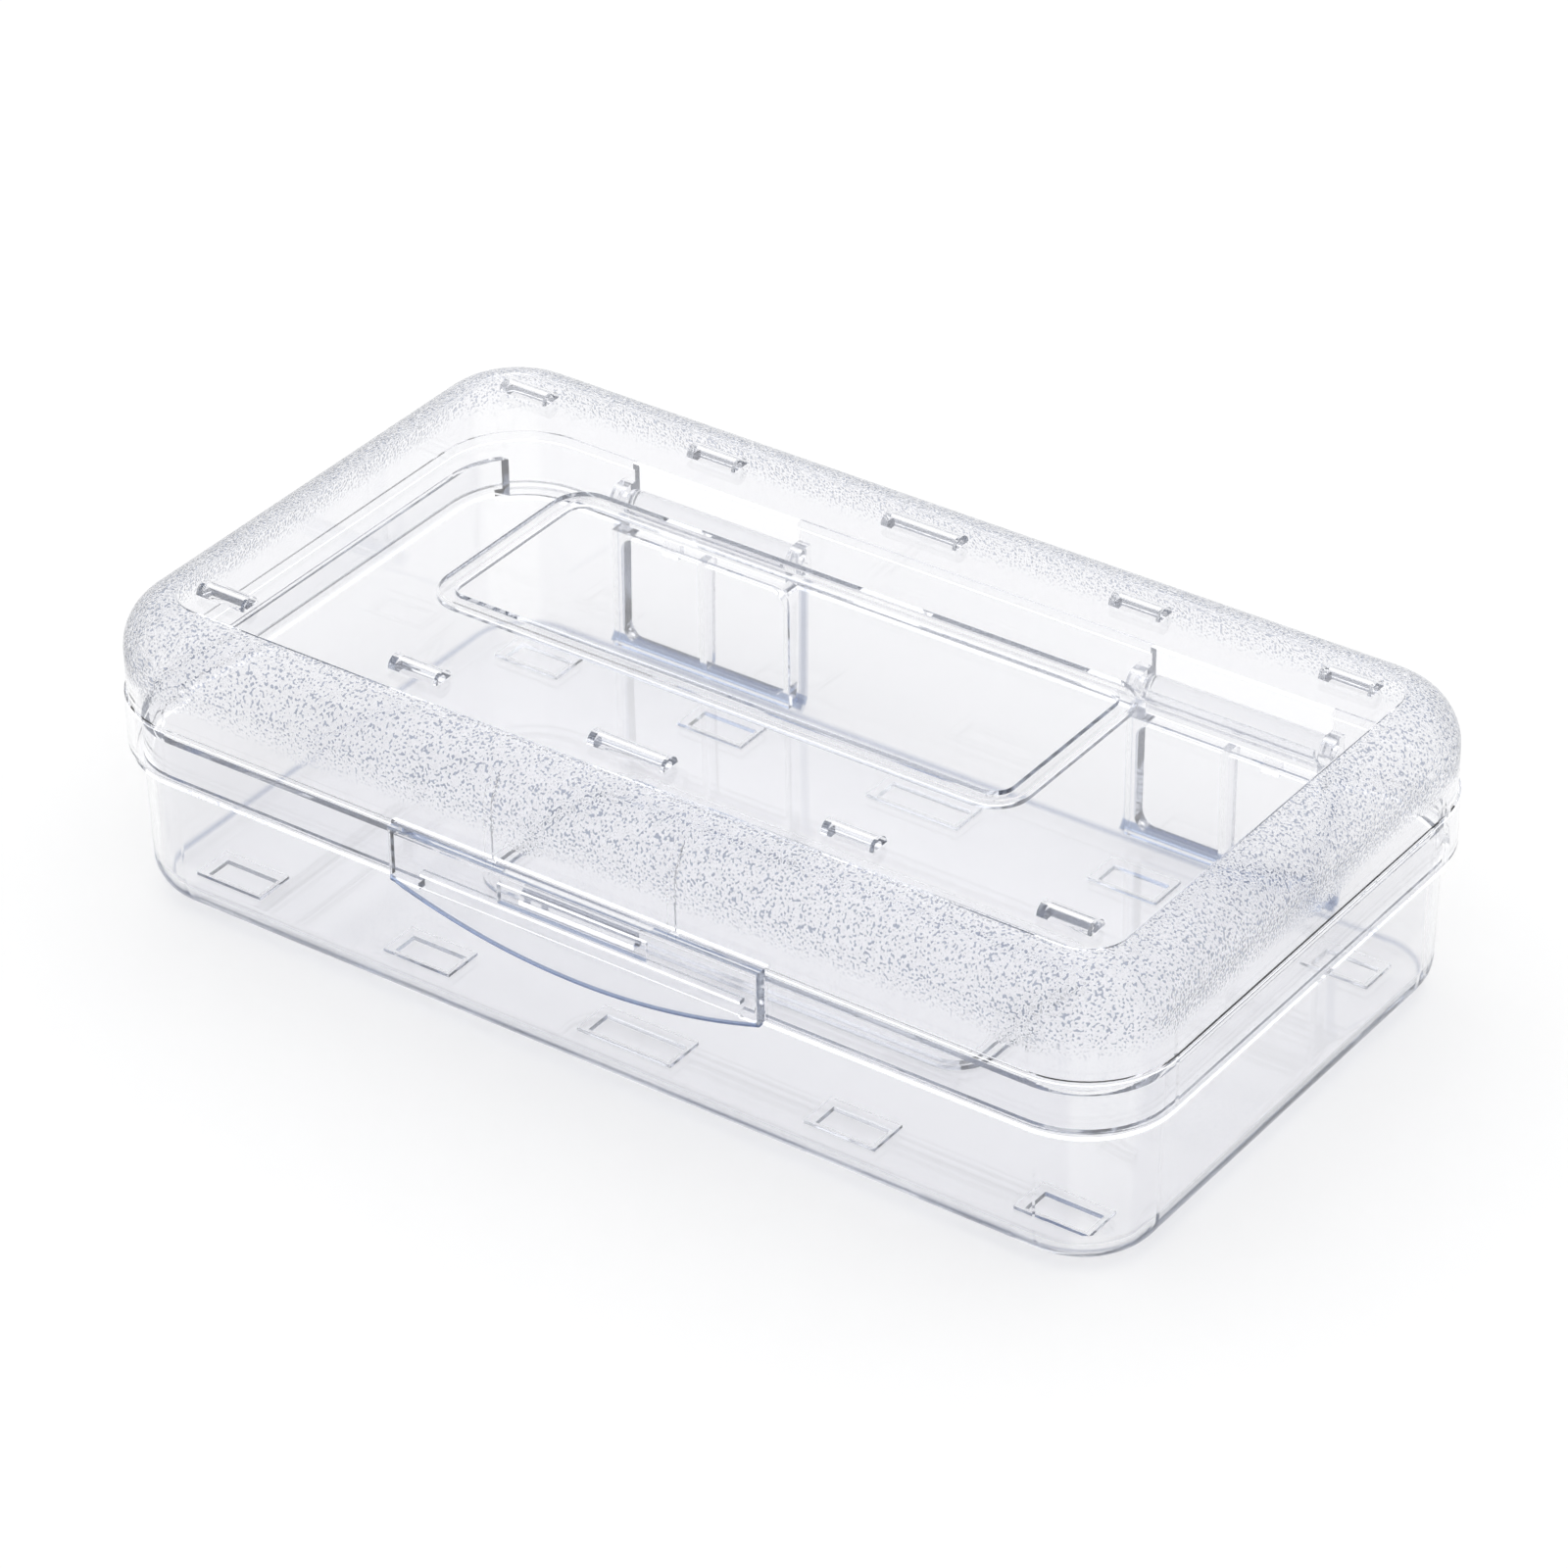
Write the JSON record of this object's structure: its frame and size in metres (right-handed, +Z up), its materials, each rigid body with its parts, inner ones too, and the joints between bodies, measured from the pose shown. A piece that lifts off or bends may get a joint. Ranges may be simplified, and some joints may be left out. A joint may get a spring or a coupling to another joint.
{
  "type": "pencil box",
  "caption": "Clear rectangular pencil box with a hinged snap lid, rounded pebbled edges and stacking ribs on its top.",
  "frame": {"origin": "centre of the flat underside, on the surface that the box stands on", "axes": "+X along the length, +Y towards the hinges, +Z up"},
  "size_m": [0.215, 0.1216, 0.0613],
  "materials": {
    "clear_tray": "clear injection-moulded polypropylene, glossy",
    "clear_lid": "clear injection-moulded polypropylene, glossy, with a pebbled band round the rounded top edge",
    "hinge_rod": "solid clear polypropylene, glossy"
  },
  "bodies": {
    "tray": {"base_tray": "clear_tray", "hinge_rod_left": "hinge_rod", "hinge_rod_right": "hinge_rod"},
    "lid": {"lid": "clear_lid"},
    "latch": {"latch_flap": "clear_lid"}
  },
  "joints": [
    {"name": "lid_hinge", "type": "hinge", "parent": "tray", "child": "lid", "pos_m": [0, 0.0567, 0.0336], "axis": [-1, 0, 0], "range_deg": [0, 115]},
    {"name": "latch_flex", "type": "hinge", "parent": "lid", "child": "latch", "pos_m": [0, -0.0589, 0.0402], "axis": [-1, 0, 0], "range_deg": [0, 8], "stiffness_Nm_per_rad": 0.5}
  ]
}
